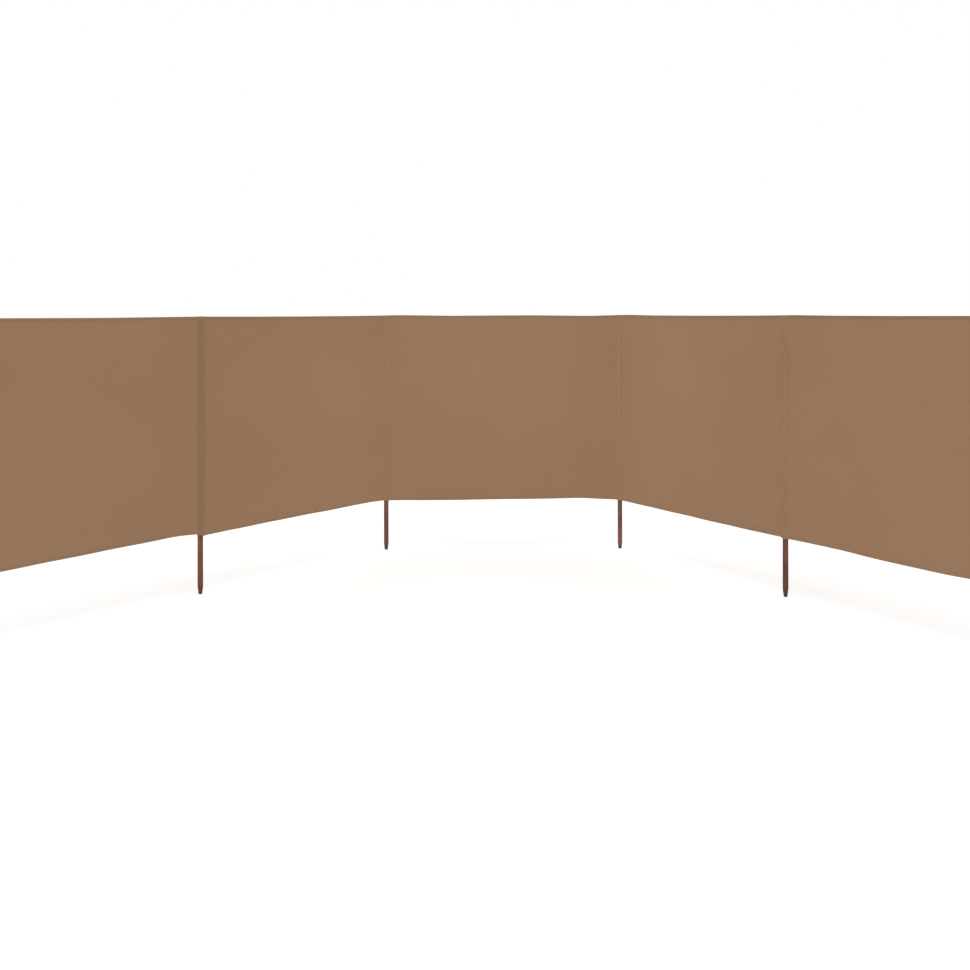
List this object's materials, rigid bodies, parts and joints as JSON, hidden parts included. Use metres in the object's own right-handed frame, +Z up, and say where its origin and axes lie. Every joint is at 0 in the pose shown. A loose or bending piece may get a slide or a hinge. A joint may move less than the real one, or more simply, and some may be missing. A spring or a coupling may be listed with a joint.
{
  "type": "beach windbreak",
  "caption": "Long cloth windbreak screen on round wooden poles with pointed lower ends, sewn into pockets so that its bays turn about the poles; stands in sand or soil.",
  "frame": {"origin": "centre of the flat tip of the third pole from the left, pole_3, where it meets the ground", "axes": "+X along the centre bay from pole_3 to pole_4, +Y behind the screen and away from its open side, +Z up along the poles"},
  "size_m": [3.8505, 2.1309, 1.2],
  "materials": {
    "cloth": "matt woven polyester, taupe brown",
    "cloth_hem": "doubled and stitched matt polyester, taupe brown",
    "pole_wood": "reddish brown stained wood, satin"
  },
  "bodies": {
    "centre_bay": {"panel_3": "cloth", "top_hem_3": "cloth_hem", "bottom_hem_3": "cloth_hem", "pole_3": "pole_wood", "pole_4": "pole_wood", "pocket_3": "cloth", "pocket_4": "cloth"},
    "left_inner_bay": {"panel_2": "cloth", "top_hem_2": "cloth_hem", "bottom_hem_2": "cloth_hem", "pole_2": "pole_wood", "pocket_2": "cloth"},
    "left_outer_bay": {"panel_1": "cloth", "top_hem_1": "cloth_hem", "bottom_hem_1": "cloth_hem", "pole_1": "pole_wood", "pocket_1": "cloth"},
    "right_inner_bay": {"panel_4": "cloth", "top_hem_4": "cloth_hem", "bottom_hem_4": "cloth_hem", "pole_5": "pole_wood", "pocket_5": "cloth"},
    "right_outer_bay": {"panel_5": "cloth", "top_hem_5": "cloth_hem", "bottom_hem_5": "cloth_hem", "pole_6": "pole_wood", "pocket_6": "cloth"}
  },
  "joints": [
    {"name": "left_inner_turn", "type": "hinge", "parent": "centre_bay", "child": "left_inner_bay", "pos_m": [0, 0, 0.254], "axis": [0, 0, 1], "range_deg": [-122, 18]},
    {"name": "left_outer_turn", "type": "hinge", "parent": "left_inner_bay", "child": "left_outer_bay", "pos_m": [-0.73879, -0.94561, 0.254], "axis": [0, 0, 1], "range_deg": [-70.5, 69.5]},
    {"name": "right_inner_turn", "type": "hinge", "parent": "centre_bay", "child": "right_inner_bay", "pos_m": [1.2, 0, 0.254], "axis": [0, 0, -1], "range_deg": [-131.5, 8.5]},
    {"name": "right_outer_turn", "type": "hinge", "parent": "right_inner_bay", "child": "right_outer_bay", "pos_m": [1.77259, -1.05458, 0.254], "axis": [0, 0, -1], "range_deg": [-69.5, 70.5]}
  ]
}
